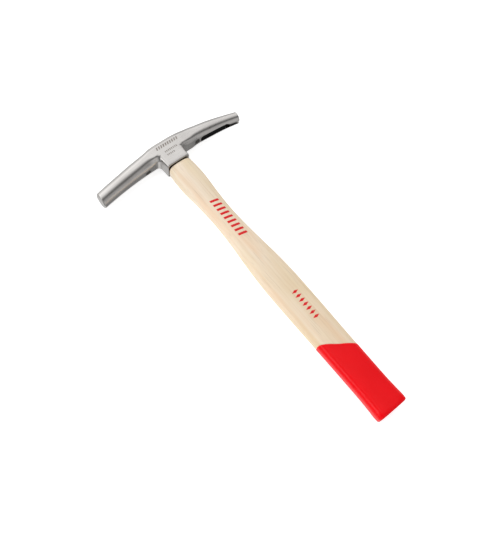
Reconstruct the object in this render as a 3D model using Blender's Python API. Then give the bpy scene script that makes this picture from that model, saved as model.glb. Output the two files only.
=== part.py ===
"""Double-faced magnetic tack hammer: forged steel head with a solid face and a split, magnetised
face, hickory handle held in the eye by a wooden and a steel wedge, dip-coated grip end.

Frame: the hammer lies on its back cheek. +X runs along the head towards the split face, +Y from the
butt to the crown of the head, +Z up out of the front cheek. Origin at the middle of the bounding
box's base.
"""

import bpy
import bmesh
import math
from mathutils import Vector

MM = 0.001

# ---- driving dimensions, in millimetres -------------------------------------------------------
OVERALL_LENGTH = 268.9      # crown of the head to the butt
CHEEK_THICKNESS = 17.0      # eye boss, front cheek to back cheek
CROWN_Y = 8.1               # crown above the head's datum line (the arms' axis at mid-head)
SKIRT_Y = -15.1             # lower rim of the eye boss
ARCH_DROP = 6.6             # how far the arms' axis drops from mid-head to the striking faces
ARCH_Y = 0.7                # the arms' axis at mid-head
FACE_X = 66.8               # the arms' axis meets the striking faces about here
HEAD_REACH = 67.867         # the split face's furthest corner; the other face stands square at -67.0

EYE_TOP = (9.3, 6.4)        # eye half-sizes at the crown (along X, along Z)
EYE_WAIST = (8.2, 5.7)      # at two fifths of its depth
EYE_BOTTOM = (8.6, 6.1)     # at the rim
FIT_GAP = 0.3               # every seated surface keeps this gap

SLOT_START, SLOT_WIDE_END = 29.5, 54.5   # magnet pocket along the arm
SLOT_WIDE, SLOT_NARROW = 6.4, 3.0        # pocket width, and the air gap between the two pole tips

DIP_Y, DIP_SLOPE = -202.5, -0.675        # the coating's slanted edge: y = DIP_Y + DIP_SLOPE * x
COAT_PROUD, WOOD_REBATE = 0.15, 0.75     # coating above the bare wood; wood turned down under it

HALF = CHEEK_THICKNESS / 2
Y_OFF = OVERALL_LENGTH / 2 - CROWN_Y     # head datum to the object's frame's origin
BUTT_Y = CROWN_Y - OVERALL_LENGTH
X_OFF = (67.0 - HEAD_REACH) / 2          # centres the head's two ends on the frame

for stale in list(bpy.data.objects):
    bpy.data.objects.remove(stale, do_unlink=True)


# ---- materials --------------------------------------------------------------------------------
def material(name, colour, roughness, metallic):
    m = bpy.data.materials.new(name)
    m.use_nodes = True
    shader = m.node_tree.nodes["Principled BSDF"]
    shader.inputs["Base Color"].default_value = (*colour, 1.0)
    shader.inputs["Roughness"].default_value = roughness
    shader.inputs["Metallic"].default_value = metallic
    m.diffuse_color = (*colour, 1.0)
    return m


STEEL = material("forged_steel", (0.56, 0.54, 0.52), 0.32, 1.0)
HICKORY = material("hickory", (0.80, 0.66, 0.48), 0.45, 0.0)
WEDGE_WOOD = material("wedge_hardwood", (0.52, 0.33, 0.18), 0.6, 0.0)
WEDGE_STEEL = material("wedge_iron", (0.28, 0.27, 0.26), 0.5, 1.0)
MAGNET = material("magnet_black", (0.02, 0.02, 0.022), 0.4, 0.2)
RED_DIP = material("red_dip", (0.80, 0.02, 0.02), 0.25, 0.0)


# ---- mesh helpers -----------------------------------------------------------------------------
def place(p):
    """A point of the head's datum frame, in millimetres, in the object's frame, in metres."""
    return Vector(((p[0] + X_OFF) * MM, (p[1] + Y_OFF) * MM, (p[2] + HALF) * MM))


def loft(name, rings, mat=None, helper=False):
    """One closed body through rings of equal length, with flat ends."""
    bm = bmesh.new()
    rows = [[bm.verts.new(place(p)) for p in ring] for ring in rings]
    n = len(rows[0])
    for a, b in zip(rows, rows[1:]):
        for i in range(n):
            bm.faces.new((a[i], a[(i + 1) % n], b[(i + 1) % n], b[i]))
    bm.faces.new(list(reversed(rows[0])))
    bm.faces.new(rows[-1])
    bmesh.ops.recalc_face_normals(bm, faces=bm.faces)
    mesh = bpy.data.meshes.new(name)
    bm.to_mesh(mesh)
    bm.free()
    mesh.shade_smooth()
    mesh.set_sharp_from_angle(angle=math.radians(28))
    obj = bpy.data.objects.new(name, mesh)
    bpy.context.scene.collection.objects.link(obj)
    if mat:
        mesh.materials.append(mat)
    if helper:
        obj.hide_render = True
        obj.display_type = "WIRE"
    return obj


def boolean(obj, tool, operation):
    m = obj.modifiers.new(operation.lower() + "_" + tool.name, "BOOLEAN")
    m.operation = operation
    m.solver = "EXACT"
    m.object = tool
    return obj


def lerp(table, x):
    """Values of a table [(x, v1, v2, ...)] at x, straight between its rows."""
    if x <= table[0][0]:
        return table[0][1:]
    for low, high in zip(table, table[1:]):
        if x <= high[0]:
            t = (x - low[0]) / (high[0] - low[0])
            return tuple(a + (b - a) * t for a, b in zip(low[1:], high[1:]))
    return table[-1][1:]


def eased(table, x):
    """As lerp, with a smooth step between rows."""
    if x <= table[0][0]:
        return table[0][1:]
    for low, high in zip(table, table[1:]):
        if x <= high[0]:
            t = (x - low[0]) / (high[0] - low[0])
            t = t * t * (3 - 2 * t)
            return tuple(a + (b - a) * t for a, b in zip(low[1:], high[1:]))
    return table[-1][1:]


def superellipse(wx, wz, power, count):
    """(x, z) points round an oval of half-sizes wx and wz; power 2 is an ellipse."""
    points = []
    for i in range(count):
        a = 2 * math.pi * (i + 0.5) / count
        c, s = math.cos(a), math.sin(a)
        points.append((
            wx * math.copysign(abs(c) ** (2 / power), c),
            wz * math.copysign(abs(s) ** (2 / power), s),
        ))
    return points


# ---- head: two octagonal arms on one arch ------------------------------------------------------
# x, height above the axis, depth below it, half-thickness, top flat's half-width, lower flat's half-width,
# front flat's upper and lower edges
ARMS = [
    (-67.0, 5.95, 6.30, 6.10, 2.7, 2.7, 2.5, -2.3),
    (-45.0, 6.5, 6.40, 6.60, 3.1, 3.0, 2.8, -2.4),
    (-30.0, 7.35, 6.40, 7.20, 3.8, 3.4, 3.3, -2.1),
    (-20.0, 7.2, 6.20, 7.80, 5.2, 4.2, 3.9, -1.6),
    (-13.0, 7.3, 5.50, 8.20, 6.2, 4.8, 4.3, -2.9),
    (13, 7.3, 5.7, 8.2, 6.2, 4.8, 4.3, -4.3),
    (20, 7.75, 6, 7.8, 5.2, 4.2, 4.2, -3.9),
    (25, 7.85, 5.4, 7.45, 4.6, 3.8, 4.1, -3.1),
    (30, 7.65, 5.25, 7, 3.9, 3.4, 3.9, -2.4),
    (40, 7.3, 5.05, 6.4, 3.3, 3, 3.5, -1.9),
    (47.6, 6.8, 4.7, 5.9, 2.8, 2.8, 3.1, -1.6),
    (57, 5.85, 4.45, 5.3, 2.4, 2.4, 2.6, -1.6),
    (66.935, 4.8, 4.45, 4.8, 2.1, 2.1, 2.1, -1.8),
]
ARCH_K = ARCH_DROP / FACE_X**2


def arm_ring(x):
    """Octagon across the arm's axis at x, each corner cut once."""
    above, below, hz, zt, zb, y1, y2 = lerp(ARMS, x)
    corners = [
        (zt, above), (hz, y1), (hz, y2), (zb, -below),
        (-zb, -below), (-hz, y2), (-hz, y1), (-zt, above),
    ]
    section = []
    for i, c in enumerate(corners):
        before, after = corners[i - 1], corners[(i + 1) % 8]
        for other in (before, after):
            d = math.dist(c, other)
            t = min(0.6, 0.3 * d) / d
            section.append((c[0] + (other[0] - c[0]) * t, c[1] + (other[1] - c[1]) * t))
    y_axis = ARCH_Y - ARCH_K * x * x
    slope = 0 if x == ARMS[0][0] else -2 * ARCH_K * x    # the solid face is square to X, not to the arch
    length = math.hypot(1, slope)
    up = (-slope / length, 1 / length)
    return [(x + up[0] * y, y_axis + up[1] * y, z) for z, y in section]


ARM_STATIONS = [ARMS[0][0], -56, -45, -37, -30, -25, -20, -16, -13, 0, 13, 16, 20, 25, 30, 38, 47.6, 57, ARMS[-1][0]]
head = loft("hammer_head", [arm_ring(x) for x in ARM_STATIONS], STEEL)

# Eye boss: stacked sections of a skirt that widens into the arms.
# y, half-width in X, half-thickness, front flat's half-width, side flat's half-width
BOSS = [
    (SKIRT_Y, 9.95, 7.90, 7.3, 4.8),
    (-14.50, 10.20, 8.25, 7.4, 5.0),
    (-12.00, 10.30, 8.50, 7.5, 5.2),
    (-8.00, 10.50, 8.50, 7.7, 5.2),
    (-6.00, 11.10, 8.50, 8.0, 5.0),
    (-4.40, 12.40, 8.50, 8.8, 4.6),
    (-3.20, 14.20, 8.50, 10.0, 4.2),
    (-1.80, 16.60, 8.50, 11.8, 3.8),
    (0.00, 18.00, 8.50, 13.0, 3.6),
    (4.90, 17.50, 8.50, 13.0, 3.4),
    (7.20, 14.50, 7.80, 11.5, 3.4),
    (8.10, 12.60, 7.00, 10.5, 3.4),
]


def boss_ring(y, wx, wz, fx, fz):
    quarter = [
        (fx + (wx - fx) * math.sin(a), fz + (wz - fz) * math.cos(a))
        for a in (math.pi / 2 * k / 4 for k in range(5))
    ]
    ring = quarter + [(x, -z) for x, z in reversed(quarter)]
    ring += [(-x, -z) for x, z in quarter] + [(-x, z) for x, z in reversed(quarter)]
    return [(x, y, z) for x, z in ring]


boss = loft("boss_tool", [boss_ring(*row) for row in BOSS], helper=True)
boolean(head, boss, "UNION")


# Eye: an oval bore, wider at both mouths than at its waist.
def eye_sizes(y, inset):
    table = [
        (SKIRT_Y - 1, *EYE_BOTTOM), (SKIRT_Y, *EYE_BOTTOM),
        (-7.5, *EYE_WAIST), (-4.5, *EYE_WAIST),
        (CROWN_Y, *EYE_TOP), (CROWN_Y + 1, *EYE_TOP),
    ]
    wx, wz = lerp(table, y)
    return wx - inset, wz - inset


def oval(y, wx, wz, power=3.2, count=28):
    return [(x, y, z) for x, z in superellipse(wx, wz, power, count)]


eye = loft("eye_tool", [oval(y, *eye_sizes(y, 0)) for y in (SKIRT_Y - 1, SKIRT_Y, -7.5, -4.5, CROWN_Y, CROWN_Y + 1)], helper=True)
boolean(head, eye, "DIFFERENCE")


# Slot: the wide part is the magnet's pocket, the narrow part the gap between the pole tips.
def slot_tool(name, stations, half_width):
    """A slab that follows the arch and passes right through the arm, with rounded corners in plan."""
    rings = []
    for x, w in [(s, half_width if isinstance(half_width, (int, float)) else half_width[i]) for i, s in enumerate(stations)]:
        y = ARCH_Y - ARCH_K * x * x
        rings.append([(x, y + 12, w), (x, y - 12, w), (x, y - 12, -w), (x, y + 12, -w)])
    return loft(name, rings, helper=True)


w, n = SLOT_WIDE / 2, SLOT_NARROW / 2
pocket = slot_tool(
    "pocket_tool",
    [SLOT_START, SLOT_START + 0.7, 38, 46, SLOT_WIDE_END, SLOT_WIDE_END + 3.2, 64, 72],
    [w - 0.7, w, w, w, w, n, n, n],
)
boolean(head, pocket, "DIFFERENCE")

# ---- handle: tenon, neck, waist, swell, grip and flared butt ------------------------------------
# y, half-width in X, half-thickness, section power
HANDLE = [
    (SKIRT_Y, 9.0, 6.4, 3.2),
    (-16.0, 9.75, 7.1, 3.0),
    (-18.4, 10.2, 7.3, 2.8),
    (-24.0, 10.8, 7.6, 2.6),
    (-33.0, 11.15, 7.7, 2.5),
    (-42.0, 10.7, 7.5, 2.4),
    (-52.0, 9.9, 7.3, 2.3),
    (-63.0, 9.3, 7.2, 2.3),
    (-72.0, 9.1, 7.2, 2.3),
    (-84.0, 9.4, 7.3, 2.4),
    (-98.0, 10.3, 7.6, 2.5),
    (-112.0, 11.5, 8.0, 2.6),
    (-126.0, 12.4, 8.25, 2.8),
    (-142.0, 12.85, 8.3, 3.0),
    (-165.0, 12.75, 8.3, 3.1),
    (-190.0, 12.4, 8.2, 3.2),
    (-215.0, 12.15, 8.1, 3.2),
    (-238.0, 12.05, 8.1, 3.2),
    (-250.0, 12.35, 8.2, 3.2),
    (-256.5, 12.7, 8.34, 3.2),
    (-259.0, 12.65, 8.3, 3.1),
    (-260.2, 12.2, 7.9, 3.0),
    (BUTT_Y, 11.2, 7.0, 2.8),
]


def handle_ring(row, offset=0.0, count=32):
    y, wx, wz, power = row
    return [(x, y, z) for x, z in superellipse(wx + offset, wz + offset, power, count)]


def handle_row(y):
    return (y, *lerp([(-r[0], *r[1:]) for r in HANDLE], -y))


def keep_side(obj, y0, slope, below):
    """Cuts obj by the slanted plane y = y0 + slope * x and closes it; below keeps the butt's side."""
    bm = bmesh.new()
    bm.from_mesh(obj.data)
    normal = Vector((-slope, 1.0, 0.0)).normalized()
    bmesh.ops.bisect_plane(
        bm, geom=bm.verts[:] + bm.edges[:] + bm.faces[:], dist=1e-7,
        plane_co=place((0, y0, 0)), plane_no=normal if below else -normal, clear_outer=True,
    )
    rim = [e for e in bm.edges if e.is_boundary]
    bmesh.ops.contextual_create(bm, geom=rim)
    bmesh.ops.recalc_face_normals(bm, faces=bm.faces)
    bm.to_mesh(obj.data)
    bm.free()


bare = [handle_row(r[0]) for r in HANDLE if r[0] > -230]
shaft = loft("hickory_handle", [handle_ring(r) for r in bare], HICKORY)
keep_side(shaft, DIP_Y, DIP_SLOPE, below=False)

# Under the coating the wood is turned down; this core runs up inside the bare shaft.
core_rows = [handle_row(y) for y in (-180, -190, -200, -215, -238, -250, -256.5)] + [
    (-258.5, 12.65, 8.3, 3.0), (BUTT_Y + 1.3, 11.7, 7.5, 2.9), (BUTT_Y + 0.9, 10.7, 6.6, 2.8),
]
core = loft("core_tool", [handle_ring(r, -WOOD_REBATE) for r in core_rows], helper=True)
boolean(shaft, core, "UNION")

# Tenon: fills the eye less the seating gap, flush with the crown.
tenon_stations = (-17.5, SKIRT_Y, -7.5, -4.5, CROWN_Y)
tenon = loft("tenon_tool", [oval(y, *eye_sizes(y, FIT_GAP)) for y in tenon_stations], helper=True)
boolean(shaft, tenon, "UNION")


# ---- wedges -----------------------------------------------------------------------------------
def wedge_block(name, length_half, top_half, bottom_half, top, bottom, across, mat=None, grow=0.0, helper=False):
    """A wedge that tapers downwards. It runs along X, or along Z where across is True."""
    def ring(y, half, reach):
        if across:
            return [(half, y, reach), (half, y, -reach), (-half, y, -reach), (-half, y, reach)]
        return [(reach, y, half), (reach, y, -half), (-reach, y, -half), (-reach, y, half)]
    return loft(name, [
        ring(bottom - grow, bottom_half + grow, length_half + grow),
        ring(top + (1.5 if grow else 0), top_half + grow * 1.02, length_half + grow),
    ], mat, helper)


WOOD_WEDGE = dict(length_half=7.6, top_half=1.3, bottom_half=0.35, top=CROWN_Y - 0.1, bottom=-8.6)
STEEL_WEDGE = dict(length_half=4.4, top_half=0.9, bottom_half=0.25, top=CROWN_Y - 0.05, bottom=-3.6)

kerf = wedge_block("kerf_tool", **WOOD_WEDGE, across=False, grow=FIT_GAP, helper=True)
bite = wedge_block("bite_tool", **STEEL_WEDGE, across=True, grow=FIT_GAP, helper=True)
boolean(shaft, kerf, "DIFFERENCE")
boolean(shaft, bite, "DIFFERENCE")

wooden_wedge = wedge_block("wooden_wedge", **WOOD_WEDGE, across=False, mat=WEDGE_WOOD)
boolean(wooden_wedge, bite, "DIFFERENCE")
steel_wedge = wedge_block("steel_wedge", **STEEL_WEDGE, across=True, mat=WEDGE_STEEL)

# ---- magnet: a bar bonded in the pocket, a little below the arm's lower face --------------------
magnet_rings = []
for x in (SLOT_START + 0.9, 35, 41, 47, SLOT_WIDE_END - 0.4):
    above, below = lerp(ARMS, x)[:2]
    y = ARCH_Y - ARCH_K * x * x
    m = SLOT_WIDE / 2 - FIT_GAP
    top, low = y + above - 1.1, y - below + 0.7
    magnet_rings.append([
        (x, top, m - 0.4), (x, top - 0.4, m), (x, low + 0.4, m), (x, low, m - 0.4),
        (x, low, -m + 0.4), (x, low + 0.4, -m), (x, top - 0.4, -m), (x, top, -m + 0.4),
    ])
loft("magnet_bar", magnet_rings, MAGNET)

# ---- dipped coating: a thin cup over the grip's end ---------------------------------------------
coat_rows = [handle_row(y) for y in (-170, -180, -190, -200, -215, -238, -250, -256.5, -259.0, -260.2)] + [HANDLE[-1]]
coat = loft("red_dip_coating", [handle_ring(r, COAT_PROUD if r[0] > BUTT_Y else 0.0) for r in coat_rows], RED_DIP)
keep_side(coat, DIP_Y - FIT_GAP, DIP_SLOPE, below=True)
hollow_rows = [handle_row(y) for y in (-165, -180, -190, -200, -215, -238, -250, -256.5)] + [
    (-258.6, 12.65, 8.3, 3.0), (BUTT_Y + 0.95, 11.7, 7.5, 2.9), (BUTT_Y + 0.6, 10.7, 6.6, 2.8),
]
hollow = loft("hollow_tool", [handle_ring(r, FIT_GAP - WOOD_REBATE) for r in hollow_rows], helper=True)
boolean(coat, hollow, "DIFFERENCE")
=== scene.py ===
"""Looks of the magnetic tack hammer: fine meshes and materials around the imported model.

All shapes are worked out in the head's datum frame, in millimetres (origin where the arms' axis crosses
the handle's, x along the head, y towards the crown, z out of the front cheek), and placed with place().
"""

import math

import bmesh
import bpy
import numpy as np
from mathutils import Matrix, Vector


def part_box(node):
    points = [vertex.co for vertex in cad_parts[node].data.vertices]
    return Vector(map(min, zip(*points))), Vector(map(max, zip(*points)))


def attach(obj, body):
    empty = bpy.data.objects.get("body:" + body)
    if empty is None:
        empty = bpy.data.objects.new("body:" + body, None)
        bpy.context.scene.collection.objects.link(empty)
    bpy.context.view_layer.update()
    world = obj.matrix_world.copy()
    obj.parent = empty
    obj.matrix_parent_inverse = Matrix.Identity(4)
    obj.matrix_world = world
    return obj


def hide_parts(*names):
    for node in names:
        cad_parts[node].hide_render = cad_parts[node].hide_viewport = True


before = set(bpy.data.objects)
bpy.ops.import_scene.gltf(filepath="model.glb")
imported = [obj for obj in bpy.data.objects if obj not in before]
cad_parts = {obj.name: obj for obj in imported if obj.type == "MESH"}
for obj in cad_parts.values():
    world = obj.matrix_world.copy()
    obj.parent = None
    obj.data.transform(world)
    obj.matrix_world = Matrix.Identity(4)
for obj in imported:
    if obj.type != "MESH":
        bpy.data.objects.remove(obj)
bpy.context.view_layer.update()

HEAD_LO, HEAD_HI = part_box("hammer_head")
COAT_LO, COAT_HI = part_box("red_dip_coating")

MM = 0.001
HALF = (HEAD_HI.z - HEAD_LO.z) / 2 / MM      # half the cheek's thickness
CROWN_Y = 8.1
Y_OFF = HEAD_HI.y / MM - CROWN_Y
BUTT_Y = COAT_LO.y / MM - Y_OFF
SKIRT_Y = HEAD_LO.y / MM - Y_OFF
Z_OFF = HEAD_LO.z / MM + HALF
X_OFF = HEAD_HI.x / MM - 67.867              # the split face's furthest corner


def place(points):
    """Datum frame in millimetres to the row's frame in metres."""
    return (np.asarray(points, float) + np.array([X_OFF, Y_OFF, Z_OFF])) * MM


# ---- tables and curves --------------------------------------------------------------------------
def smooth_table(rows):
    """A smooth curve through the rows [(x, v1, v2, ...)], without overshoot: x array -> list of value arrays."""
    t = np.array(sorted(rows), float)
    x, v = t[:, 0], t[:, 1:]
    h = np.diff(x)[:, None]
    d = np.diff(v, axis=0) / h
    m = np.zeros_like(v)
    m[1:-1] = np.where(d[:-1] * d[1:] > 0, 2 * d[:-1] * d[1:] / np.where(d[:-1] + d[1:] == 0, 1, d[:-1] + d[1:]), 0)
    m[0], m[-1] = d[0], d[-1]

    def at(q):
        q = np.asarray(q, float)
        c = np.clip(q, x[0], x[-1])
        i = np.clip(np.searchsorted(x, c, side="right") - 1, 0, len(x) - 2)
        s = ((c - x[i]) / h[i, 0])[..., None]
        s2, s3 = s * s, s * s * s
        out = (
            (2 * s3 - 3 * s2 + 1) * v[i] + (s3 - 2 * s2 + s) * h[i] * m[i]
            + (-2 * s3 + 3 * s2) * v[i + 1] + (s3 - s2) * h[i] * m[i + 1]
        )
        return [out[..., k] for k in range(v.shape[1])]

    return at


def superellipse(wx, wz, power, count):
    """(x, z) points evenly spaced round an oval of half-sizes wx, wz."""
    a = np.linspace(0, 2 * math.pi, 1441)
    c, s = np.cos(a), np.sin(a)
    p = np.stack([wx * np.sign(c) * np.abs(c) ** (2 / power), wz * np.sign(s) * np.abs(s) ** (2 / power)], -1)
    run = np.concatenate([[0], np.cumsum(np.linalg.norm(np.diff(p, axis=0), axis=1))])
    want = np.linspace(0, run[-1], count + 1)[:-1]
    return np.stack([np.interp(want, run, p[:, 0]), np.interp(want, run, p[:, 1])], -1)


# ---- mesh helpers -------------------------------------------------------------------------------
def new_object(name, verts, faces, sharp=40.0, helper=False):
    mesh = bpy.data.meshes.new(name)
    mesh.from_pydata([tuple(p) for p in place(verts)], [], [tuple(int(i) for i in f) for f in faces])
    mesh.validate()
    mesh.update()
    bm = bmesh.new()
    bm.from_mesh(mesh)
    bmesh.ops.recalc_face_normals(bm, faces=bm.faces)
    bm.to_mesh(mesh)
    bm.free()
    mesh.shade_smooth()
    if sharp:
        mesh.set_sharp_from_angle(angle=math.radians(sharp))
    obj = bpy.data.objects.new(name, mesh)
    bpy.context.scene.collection.objects.link(obj)
    if helper:
        obj.hide_render = True
    return obj


def loft(name, rings, sharp=40.0, caps=True, helper=False):
    """A closed body through rings of equal length."""
    rings = [np.asarray(r, float) for r in rings]
    n = len(rings[0])
    verts = np.concatenate(rings)
    faces = []
    for k in range(len(rings) - 1):
        a, b = k * n, (k + 1) * n
        faces += [(a + i, a + (i + 1) % n, b + (i + 1) % n, b + i) for i in range(n)]
    if caps:
        faces.append(tuple(reversed(range(n))))
        faces.append(tuple(range((len(rings) - 1) * n, len(rings) * n)))
    return new_object(name, verts, faces, sharp, helper)


def cut(obj, *tools, operation="DIFFERENCE", sharp=40.0):
    """Booleans obj with each tool in turn, applies them and removes the tools."""
    for tool in tools:
        m = obj.modifiers.new("cut", "BOOLEAN")
        m.operation, m.solver, m.object = operation, "EXACT", tool
    bpy.context.view_layer.update()
    done = bpy.data.meshes.new_from_object(obj.evaluated_get(bpy.context.evaluated_depsgraph_get()))
    obj.modifiers.clear()
    old = obj.data
    obj.data = done
    bpy.data.meshes.remove(old)
    done.name = obj.name
    done.shade_smooth()
    done.set_sharp_from_angle(angle=math.radians(sharp))
    for tool in tools:
        bpy.data.objects.remove(tool)
    return obj


def surface_net(field, lo, hi, step):
    """Vertices and quads of the surface field = 0, one vertex in each cell it crosses, moved onto it."""
    lo = np.array(lo, float)
    n = np.ceil((np.array(hi) - lo) / step).astype(int) + 1
    ax = [lo[i] + step * np.arange(n[i]) for i in range(3)]
    value = np.empty(n)
    for i in range(0, n[0], 24):
        g = np.stack(np.meshgrid(ax[0][i:i + 24], ax[1], ax[2], indexing="ij"), -1)
        value[i:i + 24] = field(g.reshape(-1, 3)).reshape(g.shape[:3])
    inside = value < 0
    m = n - 1
    total = np.zeros(m)
    count = np.zeros(m)
    place_sum = np.zeros((*m, 3))
    for d in range(3):
        e = [(0, 0, 0), (1, 0, 0), (0, 1, 0), (0, 0, 1)][d + 1]
        a = inside[: n[0] - e[0], : n[1] - e[1], : n[2] - e[2]]
        b = inside[e[0]:, e[1]:, e[2]:]
        va, vb = value[: n[0] - e[0], : n[1] - e[1], : n[2] - e[2]], value[e[0]:, e[1]:, e[2]:]
        cross = a != b
        t = np.where(cross, va / np.where(va == vb, 1, va - vb), 0)
        o1, o2 = [(1, 2), (0, 2), (0, 1)][d]
        for s1 in (0, 1):
            for s2 in (0, 1):
                sl = [slice(0, m[0]), slice(0, m[1]), slice(0, m[2])]
                sl[o1] = slice(s1, s1 + m[o1])
                sl[o2] = slice(s2, s2 + m[o2])
                sl = tuple(sl)
                c = cross[sl]
                count += c
                place_sum[..., d] += np.where(c, t[sl], 0)
                place_sum[..., o1] += c * s1
                place_sum[..., o2] += c * s2
    active = count > 0
    index = -np.ones(m, int)
    index[active] = np.arange(active.sum())
    cells = np.argwhere(active)
    verts = lo + step * (cells + place_sum[active] / count[active][:, None])
    quads = []
    for d in range(3):
        e = np.eye(3, dtype=int)[d]
        a = inside[: n[0] - e[0], : n[1] - e[1], : n[2] - e[2]]
        b = inside[e[0]:, e[1]:, e[2]:]
        o1, o2 = [(1, 2), (2, 0), (0, 1)][d]
        at = np.argwhere(a != b)
        ok = (at[:, o1] > 0) & (at[:, o2] > 0) & (at[:, o1] < m[o1]) & (at[:, o2] < m[o2])
        at = at[ok]
        goes_out = a[tuple(at.T)]
        d1, d2 = np.eye(3, dtype=int)[o1], np.eye(3, dtype=int)[o2]
        ring = np.stack([index[tuple((at - s).T)] for s in (d1 + d2, d2, np.zeros(3, int), d1)], -1)
        quads.append(np.where(goes_out[:, None], ring, ring[:, ::-1]))
    quads = np.concatenate(quads)
    for _ in range(4):
        eps = 0.01
        f0 = field(verts)
        grad = np.stack([(field(verts + eps * np.eye(3)[k]) - field(verts - eps * np.eye(3)[k])) / (2 * eps) for k in range(3)], -1)
        g2 = np.maximum((grad**2).sum(-1), 0.05)
        move = -(f0 / g2)[:, None] * grad
        far = np.linalg.norm(move, axis=1)
        verts = verts + move * np.minimum(1, 0.5 * step / np.maximum(far, 1e-9))[:, None]
    return verts, quads


# ---- the head -----------------------------------------------------------------------------------
ARCH_Y, ARCH_K = 0.7, 6.6 / 66.8**2
LEFT_X, RIGHT_X = -67.0, 66.935
# x, height above the axis, depth below it, half-thickness, top flat, lower flat, front flat's upper and lower edges,
# and how far the section's corners are rounded
arm_at = smooth_table([
    (-67.0, 5.95, 6.30, 6.10, 2.7, 2.7, 2.5, -2.3, 5.3),
    (-45.0, 6.5, 6.40, 6.60, 3.1, 3.0, 2.8, -2.4, 5.5),
    (-30.0, 7.35, 6.40, 7.20, 3.8, 3.4, 3.3, -2.1, 5.2),
    (-20.0, 7.25, 6.20, 7.90, 5.2, 4.2, 3.9, -1.6, 4.4),
    (-13.0, 7.45, 5.50, 8.45, 6.6, 4.8, 4.3, -2.9, 2.0),
    (-8.0, 7.40, 5.20, 8.50, 7.0, 5.0, 4.3, -2.6, 1.2),
    (8.0, 7.40, 5.20, 8.50, 7.0, 5.0, 4.3, -2.6, 1.2),
    (13, 7.45, 5.7, 8.45, 6.6, 4.8, 4.3, -4.3, 1.4),
    (20, 7.75, 6, 7.8, 5.2, 4.2, 4.2, -3.9, 3),
    (25, 7.85, 5.4, 7.45, 4.6, 3.8, 4.1, -3.1, 4),
    (30, 7.65, 5.25, 7, 3.9, 3.4, 3.9, -2.4, 4.4),
    (40, 7.3, 5.05, 6.4, 3.3, 3, 3.5, -1.9, 4.6),
    (47.6, 6.8, 4.7, 5.9, 2.8, 2.8, 3.1, -1.6, 4.3),
    (57, 5.85, 4.45, 5.3, 2.4, 2.4, 2.6, -1.6, 4),
    (66.935, 4.8, 4.45, 4.8, 2.1, 2.1, 2.1, -1.8, 3.6),
])
# y, skirt's half-width in X, half-thickness, corner radius
skirt_at = smooth_table([
    (-15.1, 10.15, 8.20, 2.4),
    (-14.2, 10.22, 8.38, 2.5),
    (-12.0, 10.30, 8.50, 2.7),
    (-9.5, 10.40, 8.50, 2.8),
    (-5.0, 10.70, 8.50, 2.8),
    (3.0, 11.00, 8.50, 2.8),
])


def round_max(parts, r):
    parts = np.stack(parts)
    top = parts.max(0)
    return np.minimum(top, -r) + np.sqrt((np.maximum(parts + r, 0) ** 2).sum(0))


def to_segment(px, py, ax, ay, bx, by):
    dx, dy = bx - ax, by - ay
    t = np.clip(((px - ax) * dx + (py - ay) * dy) / np.maximum(dx * dx + dy * dy, 1e-12), 0, 1)
    return (px - ax - t * dx) ** 2 + (py - ay - t * dy) ** 2


def octagon_field(z, v, above, below, hz, zt, zb, y1, y2, r):
    """Distance to the arm's section: the octagon moved in by r, then grown by r."""
    a1, b1, a2, b2 = above - y1, hz - zt, below + y2, hz - zb
    l1, l2 = np.hypot(a1, b1), np.hypot(a2, b2)
    a1, b1, a2, b2 = a1 / l1, b1 / l1, a2 / l2, b2 / l2
    d1, d2 = a1 * zt + b1 * above - r, a2 * hz - b2 * y2 - r
    top, low, side = above - r, r - below, hz - r
    z1, v2 = np.maximum((d1 - b1 * top) / a1, 0), (d1 - a1 * side) / b1
    v3, z4 = (a2 * side - d2) / b2, np.maximum((d2 + b2 * low) / a2, 0)
    zero = np.zeros_like(z1)
    near = to_segment(z, v, zero, top, z1, top)
    for seg in ((z1, top, side, v2), (side, v2, side, v3), (side, v3, z4, low), (z4, low, zero, low)):
        near = np.minimum(near, to_segment(z, v, *seg))
    near = np.sqrt(near)
    inside = (v < top) & (v > low) & (z < side) & (a1 * z + b1 * v < d1) & (a2 * z - b2 * v < d2)
    return np.where(inside, -near, near) - r


def arms_field(p):
    x, y = p[:, 0], p[:, 1]
    slope = -2 * ARCH_K * x
    v = (y - (ARCH_Y - ARCH_K * x * x)) / np.sqrt(1 + slope * slope)
    octagon = octagon_field(np.abs(p[:, 2]), v, *arm_at(x))
    ends = []
    for ex, s in ((LEFT_X, 0.0), (RIGHT_X, -2 * ARCH_K * RIGHT_X)):
        t = np.array([1.0, s]) * math.copysign(1, ex) / math.hypot(1, s)
        ey = ARCH_Y - ARCH_K * ex * ex
        along = (x - ex) * t[0] + (y - ey) * t[1]
        off2 = ((x - ex) * t[1] - (y - ey) * t[0]) ** 2 + p[:, 2] ** 2
        ends.append(along + 0.006 * off2 / (1 + 0.004 * off2))
    return round_max([octagon, np.maximum(*ends)], 0.9)


def skirt_field(p):
    x, y, z = p[:, 0], p[:, 1], p[:, 2]
    wx, wz, rc = skirt_at(y)
    qx, qz = np.abs(x) - wx + rc, np.abs(z) - wz + rc
    section = np.hypot(np.maximum(qx, 0), np.maximum(qz, 0)) + np.minimum(np.maximum(qx, qz), 0) - rc
    return round_max([section, SKIRT_Y - y, y - 2.0], 0.5)


def slope_of(field, p, at):
    eps = 0.02
    g = np.stack([(field(p + eps * np.eye(3)[k]) - at) / eps for k in range(3)], -1)
    return g / np.maximum(np.linalg.norm(g, axis=1), 1e-6)[:, None]


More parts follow.
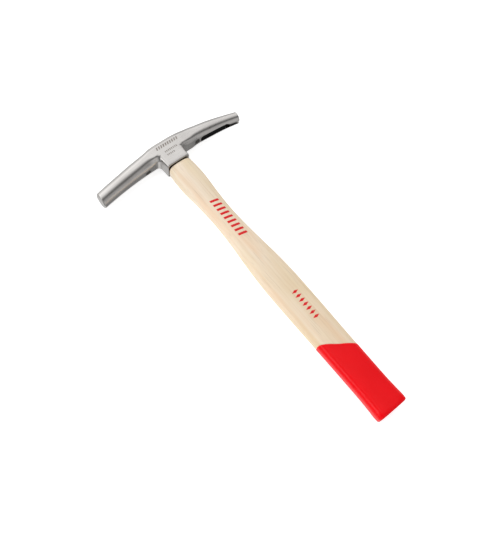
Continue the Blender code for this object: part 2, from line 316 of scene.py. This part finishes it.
def head_field(p):
    """Arms and skirt joined with a fillet in their concave corners only."""
    a, b = arms_field(p), skirt_field(p)
    near = (np.abs(a) < 6) & (np.abs(b) < 6)
    out = np.minimum(a, b)
    if near.any():
        q, an, bn = p[near], a[near], b[near]
        turn = np.clip((slope_of(arms_field, q, an) * slope_of(skirt_field, q, bn)).sum(-1), 0, 1)
        r = 3.4 * (1 - turn) + 1e-6
        joined = np.maximum(r, np.minimum(an, bn)) - np.hypot(np.maximum(r - an, 0), np.maximum(r - bn, 0))
        out[near] = joined
    return np.maximum(out, np.abs(p[:, 2]) - HALF + 0.01)


STEP = 0.42
head = new_object("forged_head", *surface_net(head_field, (-69.3, -17.6, -9.7), (69.3, 9.6, 9.7), STEP), sharp=None)

# The eye: oval, wider at both mouths, with a small lead-in at each.
eye_at = smooth_table([(-16.0, 8.6, 6.1), (-7.5, 8.2, 5.7), (-4.5, 8.2, 5.7), (8.1, 9.3, 6.4)])


def oval_ring(y, inset=0.0, power=3.2, count=72):
    wx, wz = (float(w) - inset for w in eye_at(np.array(y)))
    s = superellipse(wx, wz, power, count)
    return np.stack([s[:, 0], np.full(count, float(y)), s[:, 1]], -1)


def with_y(ring, y):
    ring = ring.copy()
    ring[:, 1] = y
    return ring


eye_rings = [with_y(oval_ring(-16.0, -0.9), -16.6), with_y(oval_ring(-16.0, -0.45), SKIRT_Y - 0.05), oval_ring(-14.4)]
eye_rings += [oval_ring(y) for y in (-13, -10, -7.5, -6, -4.5, -2, 1, 4)] + [oval_ring(7.5), with_y(oval_ring(8.1, -0.4), 8.2), with_y(oval_ring(8.1, -0.9), 9.4)]
eye = loft("eye_tool", eye_rings, helper=True)


# The slot: a pocket for the magnet, then the air gap between the pole tips, right through the arm.
def slot_half(x):
    return np.interp(x, [29.5, 30.0, 30.8, 54.2, 56.2, 57.6, 80], [2.3, 2.85, 3.2, 3.2, 2.2, 1.5, 1.5])


slot_rings = []
for x in np.concatenate([[29.5, 29.7, 30.0, 30.4, 30.8], np.arange(33, 54, 3), [54.2, 55.0, 56.2, 57.0, 57.6], np.arange(60, 72, 3)]):
    y = ARCH_Y - ARCH_K * x * x
    w = float(slot_half(x))
    slot_rings.append([(x, y + 12, w), (x, y - 12, w), (x, y - 12, -w), (x, y + 12, -w)])
slot_tool = loft("slot_tool", slot_rings, helper=True)


# A plain stamped pattern on the front cheek: three rows of slanted strokes.
def strokes(name, rows, depth, surface):
    """One body per stroke, each a slanted bar from depth below the flat height surface to 0.6 above it."""
    verts, faces = [], []
    for x0, x1, y, tall, pitch, wide, lean in rows:
        for k in range(int((x1 - x0) / pitch) + 1):
            cx = x0 + k * pitch
            foot = [(cx - wide / 2 - lean / 2, y - tall / 2), (cx + wide / 2 - lean / 2, y - tall / 2), (cx + wide / 2 + lean / 2, y + tall / 2), (cx - wide / 2 + lean / 2, y + tall / 2)]
            b = len(verts)
            for u, v in foot:
                verts.append((u, v, surface - depth))
            for u, v in foot:
                verts.append((u, v, surface + 0.6))
            faces += [(b + 3, b + 2, b + 1, b), (b + 4, b + 5, b + 6, b + 7)]
            faces += [(b + i, b + (i + 1) % 4, b + 4 + (i + 1) % 4, b + 4 + i) for i in range(4)]
    return new_object(name, np.array(verts), faces, helper=True)


STAMP_ROWS = [
    (-7.9, 10.9, 2.7, 2.7, 2.08, 1.05, 0.8),
    (-3.9, 6.8, -3.0, 1.6, 1.5, 0.72, 0.0),
    (-3.9, 2.3, -6.3, 1.5, 1.5, 0.72, 0.0),
]
STAMP_DEPTH = 0.16
stamp = strokes("stamp_tool", STAMP_ROWS, STAMP_DEPTH, HALF - 0.01)
cut(head, eye, slot_tool, stamp, sharp=32)
bm = bmesh.new()
bm.from_mesh(head.data)
bmesh.ops.dissolve_degenerate(bm, dist=1e-7, edges=bm.edges[:])
bm.to_mesh(head.data)
bm.free()


def local_centre(poly):
    c = poly.center / MM
    return c.x - X_OFF, c.y - Y_OFF, c.z - Z_OFF


def head_part(poly):
    """0 ground steel, 1 the stamp's floor, 2 painted shade: near-black inside the slot and under its open end."""
    x, y, z = local_centre(poly)
    if z < HALF - 0.1 and poly.normal.z > 0.9:
        return int(any(x0 - 1.2 < x < x1 + 1.2 and abs(y - yc) < tall / 2 + 0.05 for x0, x1, yc, tall, *_ in STAMP_ROWS))
    # painted shade: the slot's walls and the back prong's underside at the open end get the near-black material
    if x > 29.3 and abs(z) < slot_half(x) + 0.03 and x < 66.5:
        return 2
    if 56.6 < x < 66.6 and z < 0 and poly.normal.y < -0.55:
        return 2
    return 0


HEAD_PARTS = [head_part(poly) for poly in head.data.polygons]

# ---- the handle ---------------------------------------------------------------------------------
handle_at = smooth_table([
    (-15.75, 9.4, 6.95, 3.3),
    (-16.4, 9.85, 7.2, 3.2),
    (-18.4, 10.2, 7.35, 3.0),
    (-24.0, 10.8, 7.6, 2.7),
    (-33.0, 11.15, 7.7, 2.5),
    (-42.0, 10.7, 7.5, 2.4),
    (-52.0, 9.9, 7.3, 2.3),
    (-63.0, 9.3, 7.2, 2.3),
    (-72.0, 9.1, 7.2, 2.3),
    (-84.0, 9.4, 7.3, 2.4),
    (-98.0, 10.3, 7.6, 2.5),
    (-112.0, 11.5, 8.0, 2.6),
    (-126.0, 12.4, 8.25, 2.8),
    (-142.0, 12.85, 8.3, 3.0),
    (-165.0, 12.75, 8.3, 3.1),
    (-190.0, 12.4, 8.2, 3.2),
    (-215.0, 12.15, 8.1, 3.2),
    (-238.0, 12.05, 8.1, 3.2),
    (-250.0, 12.35, 8.2, 3.2),
    (-256.5, 12.68, 8.34, 3.2),
    (-259.2, 12.62, 8.3, 3.1),
])
DIP_Y, DIP_SLOPE = -202.5, -0.675
AROUND = 112


def grip_ring(y, offset=0.0, count=AROUND):
    wx, wz, power = (float(v) for v in handle_at(np.array(y)))
    s = superellipse(wx + offset, wz + offset, power, count)
    return np.stack([s[:, 0], np.full(count, float(y)), s[:, 1]], -1)


def dip_edge(ring):
    """y of the coating's edge at each point of a ring: a slanted plane with a faint wander."""
    a = np.arctan2(ring[:, 2], ring[:, 0])
    return DIP_Y + DIP_SLOPE * ring[:, 0] + 0.22 * np.sin(3 * a + 0.6) + 0.12 * np.sin(5 * a + 2.0)


rings = []
for y in np.concatenate([np.arange(-257.6, -216, 3.0), np.arange(-216, -189, 0.7), np.arange(-189, -30, 1.6), np.arange(-30, -19, 0.8), np.arange(-19, -15.9, 0.3)]):
    full, thin = grip_ring(y), grip_ring(y, -0.7)
    under = np.clip((dip_edge(full) - 0.1 - y) / 0.5, 0, 1)[:, None]
    rings.append(full * (1 - under) + thin * under)
neck = grip_ring(-15.75)
rings += [neck, neck * [0.955, 1, 0.93] + [0, 0.35, 0]]
for y in (-15.2, -14.6, -13, -10, -7.5, -6, -4.5, -2, 1, 4, 7.2):
    rings.append(oval_ring(y, 0.12, count=AROUND))
rings.append(with_y(oval_ring(8.0, 0.16, count=AROUND), 7.85))
rings.append(with_y(oval_ring(8.0, 0.6, count=AROUND), 8.02))
handle = loft("hickory_shaft", rings, sharp=38)


def wedge(name, reach, top_half, bottom_half, top, bottom, across, grow=0.0, helper=False, soft=0.0):
    """A wedge that tapers downwards, along X, or along Z where across is True."""
    levels = [(bottom - grow, bottom_half + grow), (top - soft, top_half + grow), (top, top_half + grow - soft * 0.8)]
    if grow:
        levels = [(bottom - grow, bottom_half + grow), (top + 1.5, top_half + grow)]
    rings = []
    for k, (y, half) in enumerate(levels):
        r = reach + grow - (soft * 0.8 if soft and k == len(levels) - 1 else 0)
        c = 0.12
        corners = [(r - c, half), (r, half - c), (r, -half + c), (r - c, -half), (-r + c, -half), (-r, -half + c), (-r, half - c), (-r + c, half)]
        rings.append([(b, y, a) if across else (a, y, b) for a, b in corners])
    return loft(name, rings, sharp=30, helper=helper)


WOOD_WEDGE = dict(reach=7.6, top_half=1.3, bottom_half=0.35, top=CROWN_Y - 0.1, bottom=-8.6)
STEEL_WEDGE = dict(reach=4.4, top_half=0.9, bottom_half=0.25, top=CROWN_Y - 0.05, bottom=-3.6)
kerf = wedge("kerf_tool", **WOOD_WEDGE, across=False, grow=0.08, helper=True)
bite = wedge("bite_tool", **STEEL_WEDGE, across=True, grow=0.08, helper=True)
bite2 = wedge("bite_tool_2", **STEEL_WEDGE, across=True, grow=0.08, helper=True)
cut(handle, kerf, bite, sharp=38)
wood_wedge = wedge("hardwood_wedge", **WOOD_WEDGE, across=False, soft=0.15)
cut(wood_wedge, bite2, sharp=30)
iron_wedge = wedge("iron_wedge", **STEEL_WEDGE, across=True, soft=0.18)

# ---- the magnet ---------------------------------------------------------------------------------
rings = []
stations = np.array([30.35, 30.6, 32, 34, 36, 38, 40, 42, 44, 46, 48, 50, 52, 53.9, 54.1])
for x in stations:
    above, below = (float(v) for v in arm_at(np.array(x))[:2])
    y = ARCH_Y - ARCH_K * x * x
    e = 0.25 if x in (30.35, 54.1) else 0.0
    m, top, low = 3.1 - e, y + above - 1.1 - e, y - below + 0.7 + e
    c = 0.35
    rings.append([(x, top, m - c), (x, top - c, m), (x, low + c, m), (x, low, m - c), (x, low, -m + c), (x, low + c, -m), (x, top - c, -m), (x, top, -m + c)])
magnet = loft("ferrite_magnet", rings, sharp=30)

# ---- the dipped coating --------------------------------------------------------------------------
PROUD = 0.15
END_ROWS = [(-259.2, 0.0), (-259.75, -0.12), (-260.2, -0.38), (-260.52, -0.8), (-260.70, -1.4), (BUTT_Y + 0.02, -2.6)]


def coat_ring(t, offset):
    """Ring at fraction t from the coating's edge to the start of its rounded end."""
    y = DIP_Y + t * (-259.2 - DIP_Y)
    ring = grip_ring(y, offset)
    for _ in range(3):
        edge = dip_edge(ring)
        ys = edge + t * (-259.2 - edge)
        wx, wz, power = handle_at(ys)
        flat = grip_ring(float(y), offset)
        bx, bz, _p = (float(v) for v in handle_at(np.array(float(y))))
        ring = np.stack([flat[:, 0] * (wx + offset) / (bx + offset), ys, flat[:, 2] * (wz + offset) / (bz + offset)], -1)
    return ring


def shifted(ring, dy):
    ring = ring.copy()
    ring[:, 1] += dy
    return ring


inner = [coat_ring(t, -0.45) for t in np.concatenate([np.linspace(1, 0.1, 14), [0.05, 0.02]])]
inner_end = [with_y(coat_ring(1.0, -0.9), -259.4), with_y(coat_ring(1.0, -1.9), -259.8)]
lip = [shifted(coat_ring(0.0, o), dy) for o, dy in ((-0.45, -0.15), (-0.2, 0.0), (0.02, 0.0), (0.10, -0.06), (0.16, -0.2), (0.20, -0.45), (0.215, -0.8), (0.20, -1.3), (0.17, -2.0))]
outer = [coat_ring(t, PROUD) for t in np.concatenate([[0.06, 0.08], np.linspace(0.1, 1, 46)])]
end = [with_y(coat_ring(1.0, PROUD + o), y) for y, o in END_ROWS[1:]]
coat = loft("dipped_grip", inner_end[::-1] + inner + lip + outer + end, sharp=45)

# ---- printed marks: plain slanted bars and lozenges in red ink ------------------------------------
def top_height(x, y):
    """Height of the handle's front surface, datum frame."""
    wx, wz, power = handle_at(y)
    return wz * (1 - np.clip(np.abs(x) / wx, 0, 1) ** power) ** (1 / power)


def ink(name, outlines, thick=0.035):
    """Thin closed patches of ink that follow the handle's front."""
    verts, faces = [], []
    for quad, nu, nv in outlines:
        q = np.array(quad, float)
        u, v = np.meshgrid(np.linspace(0, 1, nu + 1), np.linspace(0, 1, nv + 1), indexing="ij")
        w = [(1 - u) * (1 - v), u * (1 - v), u * v, (1 - u) * v]
        xy = sum(w[k][..., None] * q[k] for k in range(4))
        z = top_height(xy[..., 0], xy[..., 1])
        b = len(verts)
        top = np.stack([xy[..., 0], xy[..., 1], z + thick], -1).reshape(-1, 3)
        low = np.stack([xy[..., 0], xy[..., 1], z - 0.08], -1).reshape(-1, 3)
        verts += list(top) + list(low)
        m = len(top)

        def i(a, c, layer=0):
            return b + layer * m + a * (nv + 1) + c

        for a in range(nu):
            for c in range(nv):
                faces.append((i(a, c), i(a + 1, c), i(a + 1, c + 1), i(a, c + 1)))
                faces.append((i(a, c + 1, 1), i(a + 1, c + 1, 1), i(a + 1, c, 1), i(a, c, 1)))
        for a in range(nu):
            faces.append((i(a, 0, 1), i(a + 1, 0, 1), i(a + 1, 0), i(a, 0)))
            faces.append((i(a, nv), i(a + 1, nv), i(a + 1, nv, 1), i(a, nv, 1)))
        for c in range(nv):
            faces.append((i(0, c), i(0, c + 1), i(0, c + 1, 1), i(0, c, 1)))
            faces.append((i(nu, c, 1), i(nu, c + 1, 1), i(nu, c + 1), i(nu, c)))
    return new_object(name, np.array(verts), faces, sharp=30)


bars = []
for k in range(9):
    y0 = -58.2 - k * 4.3
    w, lean = 2.0, 1.5
    bars.append(([(-3.0, y0 + lean / 2 - w), (4.0, y0 - lean / 2 - w), (4.0, y0 - lean / 2), (-3.0, y0 + lean / 2)], 6, 3))
marks_a = ink("print_bars", bars)
dots = []
for k in range(7):
    yc, s, t = -153.6 - k * 3.9, 1.15, 2.9
    dots.append(([(-t + 0.6, yc), (0.6, yc - s), (t + 0.6, yc), (0.6, yc + s)], 4, 4))
marks_b = ink("print_lozenges", dots)

# ---- materials ------------------------------------------------------------------------------------
def material(name):
    m = bpy.data.materials.new(name)
    m.use_nodes = True
    return m, m.node_tree.nodes, m.node_tree.links, m.node_tree.nodes["Principled BSDF"]


def srgb(r, g, b):
    return tuple((c / 255 / 12.92 if c / 255 <= 0.04045 else ((c / 255 + 0.055) / 1.055) ** 2.4) for c in (r, g, b)) + (1.0,)


def noise(nodes, links, vector, scale, detail=3.0, rough=0.5, distort=0.0):
    n = nodes.new("ShaderNodeTexNoise")
    n.inputs["Scale"].default_value = scale
    n.inputs["Detail"].default_value = detail
    n.inputs["Roughness"].default_value = rough
    n.inputs["Distortion"].default_value = distort
    links.new(vector, n.inputs["Vector"])
    return n.outputs["Fac"]


def mapping(nodes, links, scale, offset=(0, 0, 0)):
    t = nodes.new("ShaderNodeTexCoord")
    m = nodes.new("ShaderNodeMapping")
    m.inputs["Scale"].default_value = scale
    m.inputs["Location"].default_value = offset
    links.new(t.outputs["Object"], m.inputs["Vector"])
    return m.outputs["Vector"]


def ramp(nodes, links, fac, stops):
    r = nodes.new("ShaderNodeValToRGB")
    e = r.color_ramp.elements
    while len(e) < len(stops):
        e.new(0.5)
    for k, (pos, col) in enumerate(stops):
        e[k].position = pos
        e[k].color = col if len(col) == 4 else (*col, 1.0)
    links.new(fac, r.inputs["Fac"])
    return r.outputs["Color"]


def grey(v):
    return (v, v, v, 1.0)


def mix(nodes, links, fac, a, b, blend="MIX"):
    m = nodes.new("ShaderNodeMix")
    m.data_type = "RGBA"
    m.blend_type = blend
    for socket, value in ((m.inputs["Factor"], fac), (m.inputs["A"], a), (m.inputs["B"], b)):
        if isinstance(value, (int, float, tuple)):
            socket.default_value = value
        else:
            links.new(value, socket)
    return m.outputs["Result"]


def maths(nodes, links, op, a, b=None, clamp=False, c=0.5):
    m = nodes.new("ShaderNodeMath")
    m.operation = op
    m.use_clamp = clamp
    m.inputs[2].default_value = c
    for socket, value in zip(m.inputs, (a, b)):
        if value is None:
            continue
        if isinstance(value, (int, float)):
            socket.default_value = value
        else:
            links.new(value, socket)
    return m.outputs[0]


def spot(nodes, links, centre, radii):
    """Squared distance from a point of the datum frame, in radii."""
    c, r = place(centre), [v * MM for v in radii]
    m = mapping(nodes, links, [1 / v for v in r], [-float(a) / v for a, v in zip(c, r)])
    d = nodes.new("ShaderNodeVectorMath")
    d.operation = "DOT_PRODUCT"
    links.new(m, d.inputs[0])
    links.new(m, d.inputs[1])
    return d.outputs["Value"]


def bump(nodes, links, height, strength, distance, into):
    b = nodes.new("ShaderNodeBump")
    b.inputs["Strength"].default_value = strength
    b.inputs["Distance"].default_value = distance
    links.new(height, b.inputs["Height"])
    links.new(b.outputs["Normal"], into.inputs["Normal"])


# Satin ground steel, dark steel at the bottom of the stamp, and near-black painted shade inside the slot and under its
# open end.
steel, N, L, S = material("satin_forged_steel")
fine = noise(N, L, mapping(N, L, (260, 2400, 2400)), 1.0, 4.0, 0.6)
broad = noise(N, L, mapping(N, L, (55, 80, 80)), 1.0, 3.0, 0.5)
base = ramp(N, L, broad, [(0.3, (0.585, 0.565, 0.545)), (0.7, (0.655, 0.635, 0.615))])
base = mix(N, L, 0.12, base, fine, "MULTIPLY")
arm_shade_noise = noise(N, L, mapping(N, L, (700, 700, 700)), 1.0, 3.0, 0.6)
for centre, radii in (((-22.8, -7.0, -0.5), (3.3, 1.9, 3.2)), ((25.6, -5.8, 0.6), (2.9, 1.7, 3.0))):
    # painted shade: a dark patch mixed into the steel colour under the root of each arm
    inside = maths(N, L, "SUBTRACT", maths(N, L, "MULTIPLY", arm_shade_noise, 2.2), spot(N, L, centre, radii))
    base = mix(N, L, maths(N, L, "MULTIPLY", inside, 1.6, clamp=True), base, (0.12, 0.11, 0.10, 1.0))
L.new(base, S.inputs["Base Color"])
S.inputs["Metallic"].default_value = 1.0
L.new(ramp(N, L, fine, [(0.25, grey(0.25)), (0.75, grey(0.34))]), S.inputs["Roughness"])
bump(N, L, fine, 0.12, 0.00005, S)
stamp_dark, N, L, S = material("stamp_floor_steel")
g = noise(N, L, mapping(N, L, (1200, 1200, 1200)), 1.0, 3.0, 0.6)
L.new(ramp(N, L, g, [(0.3, (0.20, 0.17, 0.15)), (0.7, (0.36, 0.32, 0.29))]), S.inputs["Base Color"])
S.inputs["Metallic"].default_value = 0.6
S.inputs["Roughness"].default_value = 0.5
# painted shade: a near-black colour for the slot's walls and the underside of its open end
painted_shade_steel, N, L, S = material("painted_shade_slot")
g = noise(N, L, mapping(N, L, (900, 900, 900)), 1.0, 3.0, 0.6)
L.new(ramp(N, L, g, [(0.3, (0.005, 0.0045, 0.004)), (0.7, (0.018, 0.015, 0.013))]), S.inputs["Base Color"])
S.inputs["Roughness"].default_value = 0.6
S.inputs["Specular IOR Level"].default_value = 0.15

# Hickory: straight pale grain with a clear lacquer.
wood, N, L, S = material("lacquered_hickory")
streak = noise(N, L, mapping(N, L, (420, 9, 420)), 1.0, 4.0, 0.55, 0.4)
pores = noise(N, L, mapping(N, L, (1900, 45, 1900)), 1.0, 2.0, 0.5)
patch = noise(N, L, mapping(N, L, (70, 14, 70), (3, 1, 2)), 1.0, 2.0, 0.5)
base = ramp(N, L, streak, [(0.30, srgb(236, 214, 186)), (0.50, srgb(242, 224, 200)), (0.70, srgb(246, 231, 211))])
warm = ramp(N, L, patch, [(0.35, srgb(255, 238, 224)), (0.5, srgb(255, 255, 255)), (0.68, srgb(246, 242, 222))])
base = mix(N, L, 0.55, base, warm, "MULTIPLY")
dark = ramp(N, L, pores, [(0.30, grey(0.72)), (0.40, grey(1.0))])
base = mix(N, L, 0.5, base, dark, "MULTIPLY")
# painted shade: a dark brown band on the wood at the mouth of the eye and inside it, standing in for the shaded gap
# between head and handle
seat = N.new("ShaderNodeSeparateXYZ")
L.new(mapping(N, L, (1000, 1000, 1000)), seat.inputs["Vector"])
edge = maths(N, L, "MULTIPLY", maths(N, L, "SUBTRACT", seat.outputs["Y"], Y_OFF - 16.25), 2.5, clamp=True)
above_crown = maths(N, L, "MULTIPLY", maths(N, L, "SUBTRACT", Y_OFF + 5.0, seat.outputs["Y"]), 1.0, clamp=True)
painted_gap_shade = maths(N, L, "MULTIPLY", edge, above_crown)
# painted shade: the wood colour turns gradually darker and yellower towards the butt
down = maths(N, L, "DIVIDE", maths(N, L, "SUBTRACT", Y_OFF - 20.0, seat.outputs["Y"]), 190.0, clamp=True)
base = mix(N, L, 1.0, base, ramp(N, L, down, [(0.0, (1.0, 1.0, 1.0)), (0.5, (0.98, 0.965, 0.94)), (1.0, (0.945, 0.90, 0.83))]), "MULTIPLY")
L.new(mix(N, L, painted_gap_shade, base, srgb(62, 42, 26)), S.inputs["Base Color"])
S.inputs["Roughness"].default_value = 0.42
S.inputs["Specular IOR Level"].default_value = 0.35
S.inputs["Coat Weight"].default_value = 0.15
S.inputs["Coat Roughness"].default_value = 0.22
bump(N, L, pores, 0.15, 0.00005, S)

# Wedges.
dark_wood, N, L, S = material("wedge_end_grain")
g = noise(N, L, mapping(N, L, (900, 60, 1400)), 1.0, 3.0, 0.6)
L.new(ramp(N, L, g, [(0.3, srgb(120, 84, 52)), (0.7, srgb(170, 128, 84))]), S.inputs["Base Color"])
S.inputs["Roughness"].default_value = 0.6
iron, N, L, S = material("wedge_mild_steel")
g = noise(N, L, mapping(N, L, (900, 900, 900)), 1.0, 4.0, 0.6)
L.new(ramp(N, L, g, [(0.3, grey(0.20)), (0.7, grey(0.36))]), S.inputs["Base Color"])
S.inputs["Metallic"].default_value = 1.0
L.new(ramp(N, L, g, [(0.3, grey(0.35)), (0.7, grey(0.6))]), S.inputs["Roughness"])

# Magnet.
ferrite, N, L, S = material("black_ferrite")
g = noise(N, L, mapping(N, L, (1500, 1500, 1500)), 1.0, 4.0, 0.6)
L.new(ramp(N, L, g, [(0.3, grey(0.002)), (0.7, grey(0.006))]), S.inputs["Base Color"])
S.inputs["Roughness"].default_value = 0.65
S.inputs["Specular IOR Level"].default_value = 0.06
bump(N, L, g, 0.3, 0.0001, S)

# Dipped coating.
red, N, L, S = material("glossy_red_dip")
g = noise(N, L, mapping(N, L, (90, 40, 90)), 1.0, 2.0, 0.4)
L.new(ramp(N, L, g, [(0.3, srgb(236, 6, 17)), (0.7, srgb(241, 8, 20))]), S.inputs["Base Color"])
S.inputs["Roughness"].default_value = 0.13
S.inputs["Specular IOR Level"].default_value = 0.22
bump(N, L, g, 0.25, 0.0002, S)

# Ink.
ink_red, N, L, S = material("red_print_ink")
g = noise(N, L, mapping(N, L, (700, 500, 700)), 1.0, 3.0, 0.6)
L.new(ramp(N, L, g, [(0.25, srgb(206, 14, 22)), (0.6, srgb(222, 18, 26))]), S.inputs["Base Color"])
S.inputs["Roughness"].default_value = 0.4
S.inputs["Specular IOR Level"].default_value = 0.3


def finish_piece(obj, mat, node, stands_for=True):
    obj.data.materials.clear()
    obj.data.materials.append(mat)
    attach(obj, "root")
    if stands_for:
        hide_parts(node)


finish_piece(head, steel, "hammer_head")
head.data.materials.append(stamp_dark)
head.data.materials.append(painted_shade_steel)
head.data.polygons.foreach_set("material_index", HEAD_PARTS)
finish_piece(magnet, ferrite, "magnet_bar")
finish_piece(handle, wood, "hickory_handle")
finish_piece(wood_wedge, dark_wood, "wooden_wedge")
finish_piece(iron_wedge, iron, "steel_wedge")
finish_piece(coat, red, "red_dip_coating")
finish_piece(marks_a, ink_red, "red_dip_coating", stands_for=False)
finish_piece(marks_b, ink_red, "red_dip_coating", stands_for=False)

# ---- stage, lights, camera ------------------------------------------------------------------------
scene = bpy.context.scene
scene.view_settings.view_transform = "Standard"
scene.view_settings.look = "None"

mesh = bpy.data.meshes.new("floor")
mesh.from_pydata([(-3, -3, -0.0002), (3, -3, -0.0002), (3, 3, -0.0002), (-3, 3, -0.0002)], [], [(0, 1, 2, 3)])
floor = bpy.data.objects.new("floor", mesh)
scene.collection.objects.link(floor)
pale, N, L, S = material("pale_floor")
S.inputs["Base Color"].default_value = (0.75, 0.75, 0.75, 1)
S.inputs["Roughness"].default_value = 1.0
S.inputs["Specular IOR Level"].default_value = 0.0
S.inputs["Emission Color"].default_value = (1, 1, 1, 1)
S.inputs["Emission Strength"].default_value = 0.72
mesh.materials.append(pale)

floor.visible_glossy = False

# A plain white sweep round the floor, which only closes the view: it lights nothing and shows in no reflection.
sweep_mesh = bpy.data.meshes.new("sweep")
bm = bmesh.new()
bmesh.ops.create_uvsphere(bm, u_segments=48, v_segments=24, radius=6.0)
bm.to_mesh(sweep_mesh)
bm.free()
sweep = bpy.data.objects.new("sweep", sweep_mesh)
scene.collection.objects.link(sweep)
white, N, L, S = material("sweep_white")
S.inputs["Base Color"].default_value = (0, 0, 0, 1)
S.inputs["Specular IOR Level"].default_value = 0.0
S.inputs["Emission Color"].default_value = (1, 1, 1, 1)
S.inputs["Emission Strength"].default_value = 1.05
sweep_mesh.materials.append(white)
white.cycles.emission_sampling = "NONE"
for kind in ("diffuse", "glossy", "transmission", "volume_scatter", "shadow"):
    setattr(sweep, "visible_" + kind, False)

# Studio surroundings, by the angle round the head's long axis: bright bank above the crown, dark gap over the
# handle, pale wall beyond the butt, dimmer ground.
world = bpy.data.worlds.new("studio")
scene.world = world
world.use_nodes = True
WN, WL = world.node_tree.nodes, world.node_tree.links
coord = WN.new("ShaderNodeTexCoord")
axes = WN.new("ShaderNodeSeparateXYZ")
WL.new(coord.outputs["Generated"], axes.inputs["Vector"])
angle = maths(WN, WL, "ARCTAN2", maths(WN, WL, "MULTIPLY", axes.outputs["Y"], -1.0), axes.outputs["Z"])
turn01 = maths(WN, WL, "ADD", maths(WN, WL, "DIVIDE", angle, 2 * math.pi), 0.5)
BANK = [
    (-180, 0.80), (-130, 0.80), (-95, 0.70), (-70, 1.20), (-47, 1.75), (-30, 1.35), (-16, 1.04), (4, 0.55), (20, 0.16),
    (34, 0.12), (48, 0.45), (62, 0.74), (80, 0.74), (100, 0.50), (130, 0.34), (165, 0.30), (180, 0.80),
]
sky = ramp(WN, WL, turn01, [((a + 180) / 360, grey(v / 1.8)) for a, v in BANK])
side = ramp(WN, WL, maths(WN, WL, "MULTIPLY_ADD", axes.outputs["X"], 0.5), [(0.0, grey(0.40)), (0.10, grey(0.48)), (0.30, grey(1.0)), (0.58, grey(1.0)), (0.66, grey(0.92)), (0.73, grey(0.78)), (1.0, grey(0.70))])
sky = mix(WN, WL, 1.0, sky, side, "MULTIPLY")
# Two soft boxes: one low beside the butt, one standing beyond the solid arm's face.
for direction, stops, level in (
    ((-0.24, -0.36, -0.90), [(0.0, 0.0), (0.90, 0.0), (0.96, 0.8), (1.0, 1.0)], 0.56),
    ((-0.93, 0.26, 0.26), [(0.0, 0.0), (0.93, 0.0), (0.965, 1.0), (1.0, 1.0)], 1.0),
):
    toward = WN.new("ShaderNodeVectorMath")
    toward.operation = "DOT_PRODUCT"
    WL.new(coord.outputs["Generated"], toward.inputs[0])
    toward.inputs[1].default_value = Vector(direction).normalized()
    glow = ramp(WN, WL, toward.outputs["Value"], [(at, grey(v)) for at, v in stops])
    sky = mix(WN, WL, glow, sky, grey(level))
WL.new(sky, WN["Background"].inputs["Color"])
WN["Background"].inputs["Strength"].default_value = 1.8


def soft_light(name, location, target, size, power, size_y=None):
    data = bpy.data.lights.new(name, "AREA")
    data.shape = "RECTANGLE"
    data.size, data.size_y = size, size_y or size
    data.energy = power
    obj = bpy.data.objects.new(name, data)
    obj.location = location
    obj.rotation_mode = "QUATERNION"
    obj.rotation_quaternion = (Vector(target) - Vector(location)).to_track_quat("-Z", "Y")
    scene.collection.objects.link(obj)
    obj.visible_glossy = False
    return obj


soft_light("key", (-0.75, 0.45, 1.2), (0, -0.02, 0), 1.1, 5.0)
soft_light("fill", (0.6, -0.7, 1.3), (0, -0.02, 0), 1.1, 2.25)

RIGHT = Vector((0.769961, -0.630867, 0.095743))
DOWN = Vector((-0.547961, -0.730601, -0.407383))
AHEAD = Vector((0.326954, 0.261205, -0.908225))
camera = bpy.data.cameras.new("camera")
eye_point = bpy.data.objects.new("camera", camera)
scene.collection.objects.link(eye_point)
spot = place([-175.65, -248.62, 459.49])
turn = Matrix.Identity(4)
for i in range(3):
    turn[i][0], turn[i][1], turn[i][2], turn[i][3] = RIGHT[i], -DOWN[i], -AHEAD[i], float(spot[i])
eye_point.matrix_world = turn
camera.sensor_width = 36.0
camera.lens = 680 / 534 * 36.0
camera.clip_start = 0.01
scene.camera = eye_point

bpy.context.view_layer.update()
